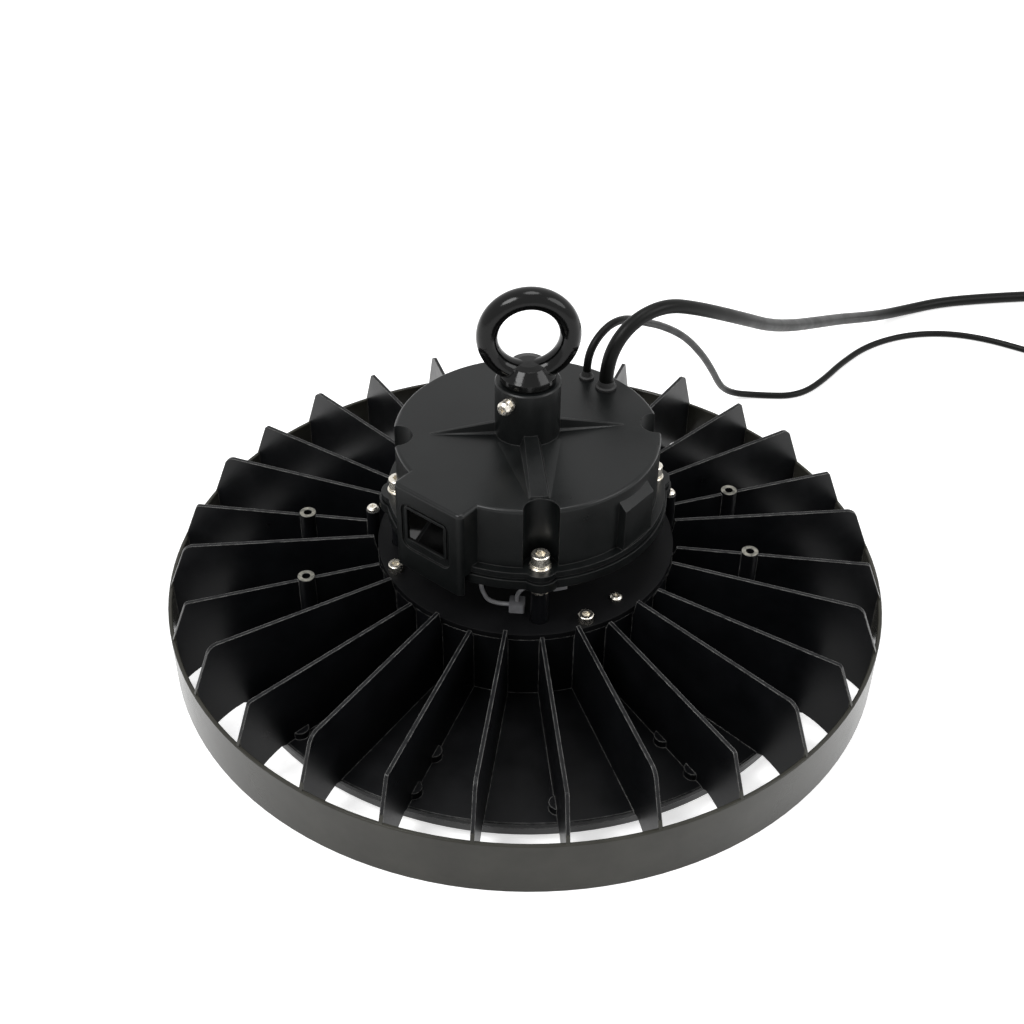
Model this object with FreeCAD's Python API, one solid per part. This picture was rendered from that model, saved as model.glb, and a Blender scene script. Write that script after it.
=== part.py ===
import FreeCAD, Part
import math
import os
from FreeCAD import Vector

# LED high bay light, hung from its eye bolt.  Millimetres, +Z up.
# The origin is on the axis, in the plane of the outer hoop's lower edge, on which the light rests.

# ---- heat sink: disc, hub, radial fins and hoop in one casting ----
HOOP_R = 175.0             # outer radius of the hoop
HOOP_T = 2.0               # its wall
HOOP_H = 29.5              # its height
HOOP_GAP = 23.2            # air between the hoop and the round plate under the fins
DISC_R = HOOP_R - HOOP_T - HOOP_GAP
DISC_Z = 9.3               # its underside
DISC_T = 4.0
HUB_TOP = 47.0
HUB_WALL = 9.0
HUB_FLOOR = 8.0            # metal left above the disc inside the hub
FIN_COUNT = 28
FIN_T = 1.8
FIN_TALL = 54.3            # top of every other fin
FIN_LOW = 50.4             # top of the fins between them
FIN_SLOPE = 8.7 / 20.0     # how far the outer edge leans in, for each unit of height
FIN_ROUND = 5.0            # rounding of a tall fin's outer corner
LUG_OUT = 37.0             # how far from the hub's edge the accessory bosses stand, on four low fins
LUG_D = 8.0
LUG_TOP = 52.0
LUG_FINS = (5, 7, 19, 21)
LUG_THREAD = 4.0
LUG_DEPTH = 12.0
POST_D = 6.4               # short posts beside the hub
POST_GAP = 0.6             # between them and the hub
POST_TOP = 57.5
POST_FINS = (5, 21)
PILLAR_D = 8.0             # pillars that carry the driver housing
HEART_D = 6.0              # wire hole from the hub down to the LED board
COVER_T = 3.0              # plate over the hub
COVER_GAP = 0.4            # between the plate and the fins
HUB_SCREW_TURN = 18.3      # how far its four screws are turned from the X and Y axes
HUB_THREAD = 8.0           # depths of the threaded holes
RING_THREAD = 5.5
BOARD_THREAD = 5.0
POST_THREAD = 8.0
EARTH_AZ = 306.5           # earth screw on the plate

# ---- optics under the disc ----
RING_R = DISC_R - 1.2      # clamp ring
RING_LIP = 2.0             # thickness of the lip under the lens
RING_LIP_R = DISC_R - 21.8 # inner radius of that lip
LENS_R = DISC_R - 13.8
LENS_RIM_T = 2.0
LENS_T = 1.8
LENS_DROP = 1.0            # how far the window of the lens hangs below the ring
GASKET_T = 1.0
LED_BOARD_R = DISC_R - 26.8
LED_BOARD_T = 1.6
LED_SIZE = 3.0
LED_T = 0.8
LED_ROWS = ((0.325, 14), (0.504, 21), (0.683, 28), (0.862, 35))   # share of the board's radius, and count
RING_SCREW_R = DISC_R - 8.3
RING_BOSS_D = 8.0
RING_BOSS_H = 3.7          # height of the blind bosses above the disc
BOARD_SCREW_R = LED_BOARD_R - 4.0
BOARD_BOSS_FINS = range(3, FIN_COUNT, 4)

# ---- driver housing ----
BODY_R = 62.0              # round body
BODY_TOP = 113.0
BODY_WALL = 3.0
TOP_T = 3.5
BODY_ROUND = 1.6
FLANGE_R = BODY_R + 4.0
FLANGE_T = 2.9
SEAT_Z = 81.4              # top of the flange, where the housing screws sit
SCREW_R = BODY_R - 1.0     # their circle, on the X and Y axes
POCKET_R = 8.0             # round pocket over each housing screw
SEAL_T = 0.8
BASE_R = BODY_R + 5.0
BASE_T = 4.7
SPACER_D = 9.4             # steel spacers between the base and the heat sink's pillars
SPACER_H = 5.0
HUB_R = BODY_R + 10.0      # round hub under the housing
HUB_SCREW_R = HUB_R - 4.5
EARTH_R = HUB_R - 9.5
LUG_R = HUB_R + LUG_OUT
BOSS_R = 15.1              # middle boss for the eye bolt
BOSS_TOP = 140.6
BOSS_RIM = 1.2
BOX_AZ = 225.0             # flat box on one corner of the housing, with the selector window
BOX_OUT = 8.0              # how far its face stands out of the round body
BOX_D = BODY_R + BOX_OUT
BOX_W = 40.0
BOX_LOW = 67.5
BOX_ROUND = 3.0
APRON_T = 2.4
WINDOW_W = 21.8
WINDOW_H = 17.0
WINDOW_Z = 93.5
WINDOW_S = -1.0            # sideways place of the window on its face
FRAME_RIM = 1.4            # rim round the window, in a shallow panel with round corners
PANEL_W = 28.6
PANEL_LOW = 79.4
PANEL_TOP = 104.6
PANEL_ROUND = 4.5
PANEL_DEPTH = 1.0
PANE_T = 2.0
PANE_LAP = 1.5             # of the pane over the wall round the window
PANE_BACK = 0.8            # how far its front lies behind the rim
SWITCH_GAP = 2.0           # between the pane and the switch's knob side
SWITCH_DEPTH = 8.0         # of the switch with its board
PAD_AZ = (315.0, 45.0, 135.0)
PAD_D = BODY_R + 3.0
PAD_W = 21.0
PAD_TOP = 107.0
PAD_SLOPE = 4.0
RIB_SIDE_END = BODY_R - 17.0   # where the side ribs end
RIB_WAIST = 0.14           # height of the hollow in their flanks, as a share of their own
RIB_MAIN = ((14.8, 4.9, 3.0, 7.3), (4.9, 4.6, 3.9, 0.8))     # at the boss and at the end: half widths of
RIB_SIDE = ((3.4, 1.9, 1.0, 6.4), (0.9, 0.6, 0.3, 0.3))      # foot, hollow and top, and the height

# ---- eye bolt ----
EYE_Z = 163.6              # centre of the eye
EYE_R = 18.65              # radius of the ring's middle line
EYE_BAR = 9.7              # thickness of the ring's bar
EYE_DEPTH = 11.6           # and its depth along Y
COLLAR_R = 12.8
COLLAR_H = 5.2
NECK_R = 8.4               # top of the neck, inside the ring
SHANK_D = 10.0
SHANK_L = 22.0

# ---- screws: thread, head diameter and head height ----
M5_CAP = (5.0, 8.5, 5.0)
M4_CAP = (4.0, 7.0, 4.0)
M4_PAN = (4.0, 7.6, 2.4)
M3_PAN = (3.0, 5.6, 2.0)
WASHER_R = 5.0
WASHER_T = 1.0
SPRING_R = 4.4
SPRING_T = 1.3
HOUSING_SCREW_L = 20.0
LOCK_PAN = (4.0, 6.6, 2.6)
LOCK_AZ = 231.0            # locking screw of the eye bolt, in the side of the boss
LOCK_Z = 135.2
LOCK_PROUD = 3.4           # how far its head stands off the boss
LOCK_BITE = 1.4            # how far its tip goes into the bolt's shank
LOCK_WASHER = (3.1, 1.1)

# ---- driver inside the housing ----
STANDOFF_D = 6.0
STANDOFF_H = 5.0
STANDOFF_EDGE = 5.0        # from the board's edge to a standoff's middle
BOARD_T = 1.6

# ---- lead from the driver to the LEDs, across the gap under the housing ----
LEAD_D = 2.0
LEAD_R = BODY_R - 3.0
LEAD_TOP_AZ = 244.0        # where it leaves the housing's base
PLUG_R = BODY_R - 8.0
PLUG_AZ = 260.0            # where its plug stands on the hub's plate
PLUG_W = 7.0
PLUG_H = 4.6
SOCKET_AZ = 280.0          # second plug, under the base
SOCKET_H = 10.5
BUSH_T = 3.0

# ---- leads from outside ----
MAINS_D = 7.0
MAINS_EXIT = (41.4, 31.9)
DIM_D = 4.0
DIM_EXIT = (33.3, 41.0)
GROMMET_H = 4.0
FLOOR_GAP = 0.2            # the leads' own solids clear the floor by this
TURN_GAP = 0.1             # between the turns of a coil
COIL_CLEAR = 0.6           # how much higher a coil's solid is than its lead
TUCK = 0.5                 # how far a lead's last point lies inside its coil's edge
END_GAP = 70.0             # degrees of the innermost turn left free for the stripped end
END_TURN = math.radians(30)    # how far the stripped cores turn inwards
CORE_SHIFT = 0.25          # and how far off the sheath's middle they start
MAINS_SPARE_R = 28.0       # inner radius of each coil
DIM_SPARE_R = 13.9

DISC_TOP = DISC_Z + DISC_T
COVER_TOP = HUB_TOP + COVER_T
POST_R = HUB_R + POST_GAP + POST_D / 2
HOOP_IN = HOOP_R - HOOP_T
FLANGE_Z = SEAT_Z - FLANGE_T
BASE_TOP = FLANGE_Z - SEAL_T
BASE_Z = BASE_TOP - BASE_T
SPACER_Z = BASE_Z - SPACER_H
BODY_IN = BODY_R - BODY_WALL
ROOF_Z = BODY_TOP - TOP_T
POCKET_OUT = POCKET_R + BODY_WALL
CORNERS = (0.0, 90.0, 180.0, 270.0)
HUB_SCREW_AZ = tuple(HUB_SCREW_TURN + az for az in CORNERS)
PITCH = 360.0 / FIN_COUNT
RING_BOTTOM = DISC_Z - GASKET_T - LENS_RIM_T - RING_LIP
BOARD_Z = BASE_TOP + STANDOFF_H
BOARD_HALF = BODY_IN - 22.0    # half the width of the square driver board
GRID = BOARD_HALF / 37         # the driver's parts are sized and placed in steps of this


def fin_angle(k):
    return 270.0 + (k - 13) * PITCH


def polar(r, az, z=0.0):
    a = math.radians(az)
    return Vector(r * math.cos(a), r * math.sin(a), z)


def rod(r, z0, z1, r0=0.0, az=0.0):
    """Upright cylinder between two heights, at radius r0 and angle az."""
    return Part.makeCylinder(r, z1 - z0, polar(r0, az, z0))


def ring(r_out, r_in, z0, z1, r0=0.0, az=0.0):
    return rod(r_out, z0, z1, r0, az).cut(rod(r_in, z0 - 1, z1 + 1, r0, az))


def block(x0, x1, y0, y1, z0, z1):
    return Part.makeBox(x1 - x0, y1 - y0, z1 - z0, Vector(x0, y0, z0))


def turned(shape, az):
    """A copy turned about the light's own axis."""
    copy = shape.copy()
    copy.rotate(Vector(0, 0, 0), Vector(0, 0, 1), az)
    return copy


def lathe(points):
    """Solid of revolution from a closed outline of (radius, height) points."""
    wire = Part.makePolygon([Vector(r, 0, z) for r, z in points + points[:1]])
    return Part.Face(wire).revolve(Vector(0, 0, 0), Vector(0, 0, 1), 360)


def fused(shapes):
    whole = shapes[0].fuse(shapes[1:])
    return whole.removeSplitter()


def save(name, solids):
    """Write one sub-part: one solid, or a group of separate ones."""
    if not isinstance(solids, list):
        solids = [solids]
    flat = [s for shape in solids for s in shape.Solids]
    shape = flat[0] if len(flat) == 1 else Part.makeCompound(flat)
    shape.exportStep("parts/%s.step" % name)
    print("%-24s %3d solid(s) %10.0f mm3 %s" % (name, len(flat), sum(s.Volume for s in flat),
                                                "ok" if shape.isValid() else "BAD"))
    return shape


# ---------------------------------------------------------------- heat sink
def fin_blank(top, corner):
    """One radial fin, flat in the XZ plane, from inside the hub out to the hoop."""
    lean = FIN_SLOPE * (top - HOOP_H)
    tip = HOOP_R - lean
    foot = Vector(HOOP_IN + HOOP_T / 2, 0, 0.8)
    shoulder = Vector(HOOP_R - HOOP_T / 4, 0, HOOP_H - 0.4)
    start = Vector(HUB_R - 3, 0, DISC_TOP - 1)
    inner_top = Vector(HUB_R - 3, 0, min(top, HUB_TOP - 1))
    hub_edge = Vector(HUB_R + COVER_GAP, 0, min(top, HUB_TOP - 1))
    rise = Vector(HUB_R + COVER_GAP + 1.5, 0, top)
    rim = Vector(DISC_R - 0.8, 0, DISC_TOP - 1)
    lip = Vector(DISC_R + 0.13 * HOOP_GAP, 0, DISC_TOP + 0.4)
    middle = Vector(DISC_R + 0.6 * HOOP_GAP, 0, DISC_TOP - 4.0)
    edge = Vector(tip - corner, 0, top)
    down = (Vector(tip + lean, 0, HOOP_H) - Vector(tip, 0, top)).normalize()
    below = Vector(tip, 0, top) + down * corner
    knee = Vector(tip, 0, top) + (down + Vector(-1, 0, 0)) * (corner * 0.2)
    lines = [
        Part.LineSegment(start, rim),
        Part.LineSegment(rim, lip),
        Part.Arc(lip, middle, foot),
        Part.LineSegment(foot, shoulder),
        Part.LineSegment(shoulder, below),
        Part.Arc(below, knee, edge),
        Part.LineSegment(edge, rise),
        Part.LineSegment(rise, hub_edge),
        Part.LineSegment(hub_edge, inner_top),
        Part.LineSegment(inner_top, start),
    ]
    face = Part.Face(Part.Wire([line.toShape() for line in lines]))
    fin = face.extrude(Vector(0, FIN_T, 0))
    fin.translate(Vector(0, -FIN_T / 2, 0))
    return fin


def heat_sink():
    chamfer = 0.4
    hoop = lathe([(HOOP_IN, chamfer), (HOOP_IN + chamfer, 0), (HOOP_R - chamfer, 0), (HOOP_R, chamfer),
                  (HOOP_R, HOOP_H - chamfer), (HOOP_R - chamfer, HOOP_H), (HOOP_IN + chamfer, HOOP_H),
                  (HOOP_IN, HOOP_H - chamfer)])
    disc = lathe([(0, DISC_Z), (DISC_R - 0.6, DISC_Z), (DISC_R - 0.6, DISC_Z + 1.2), (DISC_R, DISC_Z + 1.2),
                  (DISC_R, DISC_TOP - 0.5), (DISC_R - 0.5, DISC_TOP), (0, DISC_TOP)])
    hub = rod(HUB_R, DISC_TOP - 0.5, HUB_TOP)
    cavity = rod(HUB_R - HUB_WALL, DISC_TOP + HUB_FLOOR, HUB_TOP + 1)
    tall = fin_blank(FIN_TALL, FIN_ROUND)
    low = fin_blank(FIN_LOW, FIN_ROUND / 3)
    fins = [turned(low if k % 2 else tall, fin_angle(k)) for k in range(FIN_COUNT)]
    bosses = [rod(RING_BOSS_D / 2, DISC_TOP - 0.5, DISC_TOP + RING_BOSS_H, RING_SCREW_R, fin_angle(k))
              for k in range(1, FIN_COUNT, 2)]
    bosses += [rod(RING_BOSS_D / 2, DISC_TOP - 0.5, DISC_TOP + RING_BOSS_H, BOARD_SCREW_R, fin_angle(k))
               for k in BOARD_BOSS_FINS]
    lugs = [rod(LUG_D / 2, DISC_TOP - 0.5, LUG_TOP, LUG_R, fin_angle(k)) for k in LUG_FINS]
    posts = [rod(POST_D / 2, DISC_TOP - 0.5, POST_TOP, POST_R, fin_angle(k)) for k in POST_FINS]
    body = fused([disc, hub.cut(cavity), hoop] + fins + bosses + lugs + posts)
    pillars = [rod(PILLAR_D / 2, DISC_TOP + HUB_FLOOR - 1, SPACER_Z, SCREW_R, az) for az in CORNERS]
    body = fused([body] + pillars)
    m4 = M4_PAN[0] / 2
    m3 = M3_PAN[0] / 2
    holes = [rod(LUG_THREAD / 2, LUG_TOP - LUG_DEPTH, LUG_TOP + 1, LUG_R, fin_angle(k)) for k in LUG_FINS]
    holes += [rod(m4, DISC_Z - 1, DISC_Z + RING_THREAD, RING_SCREW_R, fin_angle(k)) for k in range(1, FIN_COUNT, 2)]
    holes += [rod(m3, DISC_Z - 1, DISC_Z + BOARD_THREAD, BOARD_SCREW_R, fin_angle(k)) for k in BOARD_BOSS_FINS]
    holes += [rod(m3, POST_TOP - POST_THREAD, POST_TOP + 1, POST_R, fin_angle(k)) for k in POST_FINS]
    holes += [rod(M5_CAP[0] / 2, SEAT_Z - HOUSING_SCREW_L, SPACER_Z + 1, SCREW_R, az) for az in CORNERS]
    holes += [rod(m4, HUB_TOP - HUB_THREAD, HUB_TOP + 1, HUB_SCREW_R, az) for az in HUB_SCREW_AZ]
    holes.append(rod(HEART_D / 2, DISC_Z - 1, DISC_TOP + HUB_FLOOR + 1))
    return body.cut(holes)


# ---------------------------------------------------------------- hub cover and its screws
def hub_cover():
    """Plate over the hub: clear of the pillars, open for the LED lead and its four screws."""
    plate = rod(HUB_R, HUB_TOP, COVER_TOP)
    holes = [rod(PILLAR_D / 2 + 0.3, HUB_TOP - 1, COVER_TOP + 1, SCREW_R, az) for az in CORNERS]
    holes += [rod(M4_CAP[0] / 2, HUB_TOP - 1, COVER_TOP + 1, HUB_SCREW_R, az) for az in HUB_SCREW_AZ]
    holes.append(rod(M3_PAN[0] / 2, HUB_TOP - 1, COVER_TOP + 1, EARTH_R, EARTH_AZ))
    holes.append(rod(LEAD_D, HUB_TOP - 1, COVER_TOP + 1, PLUG_R, PLUG_AZ))
    return plate.cut(holes)


def socket_screw(size, length, seat, r0, az):
    """Socket head cap screw standing head up on `seat`."""
    thread, head, height = size
    edge = 0.1 * head / 2
    body = lathe([(0, seat - length), (thread / 2, seat - length), (thread / 2, seat), (head / 2, seat),
                  (head / 2, seat + height - edge), (head / 2 - edge, seat + height), (0, seat + height)])
    key = hexagon(0.4 * thread * 2, seat + 0.45 * height, seat + height + 1)
    body = body.cut(key)
    body.translate(polar(r0, az))
    return body


def hexagon(across, z0, z1):
    """Upright hexagonal prism, measured across its flats."""
    r = across / math.sqrt(3)
    corners = [polar(r, 60 * i, z0) for i in range(7)]
    return Part.Face(Part.makePolygon(corners)).extrude(Vector(0, 0, z1 - z0))


def pan_screw(size, length, seat, r0, az, up=True):
    """Pan head screw: the head is above `seat`, or below it when `up` is false."""
    thread, head, height = size
    side = 1 if up else -1
    outline = [(0, -length), (thread / 2, -length), (thread / 2, 0), (head / 2, 0),
               (head / 2, 0.55 * height), (0.36 * head, height), (0, height)]
    body = lathe([(r, seat + side * z) for r, z in outline])
    slot = 0.11 * head
    for k in (0, 1):
        arm = block(-0.24 * head, 0.24 * head, -slot / 2, slot / 2, 0, 1 + height)
        arm.translate(Vector(0, 0, seat + 0.45 * height if up else seat - 1.45 * height - 1))
        body = body.cut(turned(arm, 90 * k))
    body.translate(polar(r0, az))
    return body


# ---------------------------------------------------------------- driver housing
def box_part(d0, d1, s0, s1, z0, z1, az):
    """Block on a face at angle az: d is the distance from the axis and s runs sideways."""
    return turned(block(d0, d1, s0, s1, z0, z1), az)


def rounded_box(d0, d1, half, z0, z1, r, az):
    """Such a block with its two outer upright edges rounded."""
    corner = [Vector(d0, -half, z0), Vector(d1 - r, -half, z0), Vector(d1, -half + r, z0),
              Vector(d1, half - r, z0), Vector(d1 - r, half, z0), Vector(d0, half, z0)]
    bend = r * (1 - math.sqrt(0.5))
    lines = [Part.LineSegment(corner[0], corner[1]),
             Part.Arc(corner[1], Vector(d1 - bend, -half + bend, z0), corner[2]),
             Part.LineSegment(corner[2], corner[3]),
             Part.Arc(corner[3], Vector(d1 - bend, half - bend, z0), corner[4]),
             Part.LineSegment(corner[4], corner[5]),
             Part.LineSegment(corner[5], corner[0])]
    face = Part.Face(Part.Wire([line.toShape() for line in lines]))
    return turned(face.extrude(Vector(0, 0, z1 - z0)), az)


def face_plate(d0, d1, s0, s1, z0, z1, r):
    """Plate in the box's face, with its four corners rounded."""
    plate = block(d0, d1, s0, s1, z0, z1)
    corners = [e for e in plate.Edges if abs(e.tangentAt(e.FirstParameter).x) > 0.99]
    return turned(plate.makeFillet(r, corners), BOX_AZ)


def wedge(d0, first, d1, last, az):
    """Tapering rib with hollow flanks, from a section at distance d0 to another at d1."""
    def section(d, foot, waist, top, height):
        low = BODY_TOP - 1.0
        hollow = BODY_TOP + RIB_WAIST * height
        half = [(foot, low), (foot, BODY_TOP), (waist, hollow), (top, BODY_TOP + height)]
        points = [Vector(d, -s, z) for s, z in half] + [Vector(d, s, z) for s, z in reversed(half)]
        return Part.makePolygon(points + points[:1])
    rib = Part.makeLoft([section(d0, *first), section(d1, *last)], True, True)
    return turned(rib, az)


def flange():
    """Flange at the foot of the housing, with a round ear under each housing screw."""
    ears = [rod(POCKET_R, FLANGE_Z, SEAT_Z, SCREW_R, az) for az in CORNERS]
    return fused([rod(FLANGE_R, FLANGE_Z, SEAT_Z)] + ears)


def pad(az):
    """Raised flat pad with a bevelled top."""
    points = [Vector(BODY_R - 6, 0, FLANGE_Z), Vector(PAD_D, 0, FLANGE_Z), Vector(PAD_D, 0, PAD_TOP - PAD_SLOPE),
              Vector(PAD_D - PAD_SLOPE, 0, PAD_TOP), Vector(BODY_R - 6, 0, PAD_TOP)]
    face = Part.Face(Part.makePolygon(points + points[:1]))
    solid = face.extrude(Vector(0, PAD_W, 0))
    solid.translate(Vector(0, -PAD_W / 2, 0))
    return turned(solid, az)


def driver_housing():
    box = rounded_box(BODY_R - 14, BOX_D, BOX_W / 2, FLANGE_Z, BODY_TOP, BOX_ROUND, BOX_AZ)
    apron = rounded_box(BODY_R - 14, BOX_D, BOX_W / 2, BOX_LOW, FLANGE_Z + 1, BOX_ROUND, BOX_AZ)
    apron = apron.cut(rod(BASE_R + 0.3, BOX_LOW - 1, FLANGE_Z))
    apron = apron.cut(box_part(0, BOX_D - APRON_T, -BOX_W, BOX_W, BOX_LOW - 1, FLANGE_Z, BOX_AZ))
    drum = fused([rod(BODY_R, FLANGE_Z, BODY_TOP), box])
    rim = [e for e in drum.Edges if all(abs(v.Z - BODY_TOP) < 1e-6 for v in e.Vertexes)]
    drum = drum.makeFillet(BODY_ROUND, rim)
    drum = fused([drum, flange()] + [pad(az) for az in PAD_AZ])
    drum = drum.cut([rod(POCKET_R, SEAT_Z, BODY_TOP + 1, SCREW_R, az) for az in CORNERS])
    boss = lathe([(0, BODY_TOP - 1), (BOSS_R, BODY_TOP - 1), (BOSS_R, BOSS_TOP - BOSS_RIM / 2),
                  (BOSS_R - BOSS_RIM / 2, BOSS_TOP), (0, BOSS_TOP)])
    inner = 0.6 * BOSS_R
    ribs = [wedge(inner, RIB_MAIN[0], SCREW_R - POCKET_R - 0.5, RIB_MAIN[1], az) for az in (270, 90)]
    ribs += [wedge(inner, RIB_SIDE[0], RIB_SIDE_END, RIB_SIDE[1], az) for az in (0, 180)]
    shell = fused([drum, apron, boss] + ribs)
    inside = rod(BODY_IN, FLANGE_Z - 1, ROOF_Z)
    inside = inside.cut([rod(POCKET_OUT, FLANGE_Z - 2, ROOF_Z + 1, SCREW_R, az) for az in CORNERS])
    niche = box_part(BODY_R - 14, BOX_D - BODY_WALL, -BOX_W / 2 + BODY_WALL, BOX_W / 2 - BODY_WALL,
                     WINDOW_Z - WINDOW_H / 2 - PANE_LAP - 0.3, ROOF_Z, BOX_AZ)
    shell = shell.cut([inside, niche])
    w = WINDOW_W / 2
    h = WINDOW_H / 2
    hole = box_part(BOX_D - BODY_WALL - 1, BOX_D + 1, WINDOW_S - w, WINDOW_S + w,
                    WINDOW_Z - h, WINDOW_Z + h, BOX_AZ)
    panel = face_plate(BOX_D - PANEL_DEPTH, BOX_D + 1, WINDOW_S - PANEL_W / 2, WINDOW_S + PANEL_W / 2,
                       PANEL_LOW, PANEL_TOP, PANEL_ROUND)
    rim = face_plate(BOX_D - 2 * PANEL_DEPTH, BOX_D, WINDOW_S - w - FRAME_RIM, WINDOW_S + w + FRAME_RIM,
                     WINDOW_Z - h - FRAME_RIM, WINDOW_Z + h + FRAME_RIM, FRAME_RIM + 0.6)
    shell = shell.cut(panel).fuse(rim).removeSplitter().cut(hole)
    bores = [rod(M5_CAP[0] / 2, FLANGE_Z - 1, SEAT_Z + 1, SCREW_R, az) for az in CORNERS]
    bores.append(rod(SHANK_D / 2, BOSS_TOP - SHANK_L, BOSS_TOP + 1))
    bores.append(side_rod(LOCK_PAN[0] / 2, SHANK_D / 2 - 1, BOSS_R + 1))
    for (x, y), d in ((MAINS_EXIT, MAINS_D), (DIM_EXIT, DIM_D)):
        bores.append(Part.makeCylinder(d / 2 + 0.7, TOP_T + 2, Vector(x, y, ROOF_Z - 1)))
    return shell.cut(bores)


def side_rod(r, d0, d1):
    """Level cylinder along the locking screw's line, from distance d0 to d1."""
    start = polar(d0, LOCK_AZ, LOCK_Z)
    return Part.makeCylinder(r, d1 - d0, start, polar(1, LOCK_AZ))


def housing_base():
    """Plate that closes the housing; it stands on the spacers."""
    plate = fused([rod(BASE_R, BASE_Z, BASE_TOP)]
                  + [rod(POCKET_R + 1, BASE_Z, BASE_TOP, SCREW_R, az) for az in CORNERS])
    bores = [rod(M5_CAP[0] / 2, BASE_Z - 1, BASE_TOP + 1, SCREW_R, az) for az in CORNERS]
    bores.append(rod(LEAD_D, BASE_Z - 1, BASE_TOP + 1, LEAD_R, LEAD_TOP_AZ))
    return plate.cut(bores)


def housing_seal():
    seal = fused([ring(FLANGE_R - 0.5, BODY_IN, BASE_TOP, FLANGE_Z)]
                 + [rod(POCKET_R - 0.5, BASE_TOP, FLANGE_Z, SCREW_R, az) for az in CORNERS])
    return seal.cut([rod(M5_CAP[0] / 2 + 0.2, BASE_TOP - 1, FLANGE_Z + 1, SCREW_R, az) for az in CORNERS])


# ---------------------------------------------------------------- eye bolt
def eye_bolt():
    middle = Vector(EYE_R, 0, EYE_Z)
    section = Part.Ellipse(middle + Vector(0, EYE_DEPTH / 2, 0), middle + Vector(EYE_BAR / 2, 0, 0), middle)
    eye = Part.Face(Part.Wire([section.toShape()])).revolve(Vector(0, 0, EYE_Z), Vector(0, 1, 0), 360)
    foot = BOSS_TOP - SHANK_L + 1
    top = EYE_Z - EYE_R + EYE_BAR / 2
    shank = SHANK_D / 2
    shoulder = BOSS_TOP + COLLAR_H
    stem = lathe([(0, foot), (shank - 0.8, foot), (shank, foot + 0.8), (shank, BOSS_TOP), (COLLAR_R - 0.5, BOSS_TOP),
                  (COLLAR_R, BOSS_TOP + 0.5), (COLLAR_R, shoulder - 1.4), (COLLAR_R - 1.2, shoulder),
                  (NECK_R + 1.0, top - 1.6), (NECK_R, top - 0.6), (0.6 * NECK_R, top + 0.1), (0, top + 0.3)])
    pin = side_rod(LOCK_PAN[0] / 2, SHANK_D / 2 - LOCK_BITE - 0.1, SHANK_D)
    return fused([eye, stem]).cut(pin)


def locking_screw():
    """Pan head screw through the boss, its tip in the bolt's shank and its head proud of the washer."""
    seat = BOSS_R + LOCK_PROUD
    screw = pan_screw(LOCK_PAN, seat - SHANK_D / 2 + LOCK_BITE, 0, 0, 0)
    screw.rotate(Vector(0, 0, 0), Vector(0, 1, 0), 90)
    screw.rotate(Vector(0, 0, 0), Vector(0, 0, 1), LOCK_AZ)
    screw.translate(polar(seat, LOCK_AZ, LOCK_Z))
    return screw


def locking_washer():
    r, thickness = LOCK_WASHER
    return side_rod(r, BOSS_R, BOSS_R + thickness).cut(side_rod(LOCK_PAN[0] / 2, BOSS_R - 1, BOSS_R + thickness + 1))


# ---------------------------------------------------------------- optics
def clamp_ring():
    lip_top = RING_BOTTOM + RING_LIP
    body = lathe([(RING_LIP_R, RING_BOTTOM + 0.6), (RING_LIP_R + 0.6, RING_BOTTOM), (RING_R - 0.6, RING_BOTTOM),
                  (RING_R, RING_BOTTOM + 0.6), (RING_R, DISC_Z), (LENS_R + 0.3, DISC_Z), (LENS_R + 0.3, lip_top),
                  (RING_LIP_R, lip_top)])
    return body.cut([rod(M4_PAN[0] / 2, RING_BOTTOM - 1, DISC_Z + 1, RING_SCREW_R, fin_angle(k))
                     for k in range(1, FIN_COUNT, 2)])


def lens():
    """Clear cover: a rim clamped by the ring, and a window that drops inside it, beaded under each LED row."""
    rim_z = DISC_Z - GASKET_T - LENS_RIM_T
    low = RING_BOTTOM - LENS_DROP
    inner = RING_LIP_R - 0.5
    outline = [(0, low), (inner - 1, low), (inner, low + 1), (inner, rim_z), (LENS_R, rim_z),
               (LENS_R, rim_z + LENS_RIM_T), (inner - LENS_T, rim_z + LENS_RIM_T),
               (inner - LENS_T, low + LENS_T), (0, low + LENS_T)]
    return lathe(outline)


def led_places():
    for n, (share, count) in enumerate(LED_ROWS):
        for i in range(count):
            yield share * LED_BOARD_R, 360.0 * (i + 0.5 * (n % 2)) / count


def led_board():
    board = rod(LED_BOARD_R, DISC_Z - LED_BOARD_T, DISC_Z)
    return board.cut([rod(M3_PAN[0] / 2, 0, DISC_Z + 1, BOARD_SCREW_R, fin_angle(k)) for k in BOARD_BOSS_FINS]
                     + [rod(HEART_D / 2, 0, DISC_Z + 1)])


def leds():
    z = DISC_Z - LED_BOARD_T
    half = LED_SIZE / 2
    return [turned(block(r - half, r + half, -half, half, z - LED_T, z), az) for r, az in led_places()]


# ---------------------------------------------------------------- selector behind the window
def selector_window():
    """Smoked pane in the window's opening, with a lap behind the wall round it."""
    w = WINDOW_W / 2
    h = WINDOW_H / 2
    inner = BOX_D - BODY_WALL
    front = box_part(inner - 0.5, BOX_D - PANE_BACK, WINDOW_S - w, WINDOW_S + w, WINDOW_Z - h, WINDOW_Z + h, BOX_AZ)
    w += PANE_LAP
    h += PANE_LAP
    lap = box_part(inner - PANE_T, inner, WINDOW_S - w, WINDOW_S + w, WINDOW_Z - h, WINDOW_Z + h, BOX_AZ)
    return fused([front, lap])


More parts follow.
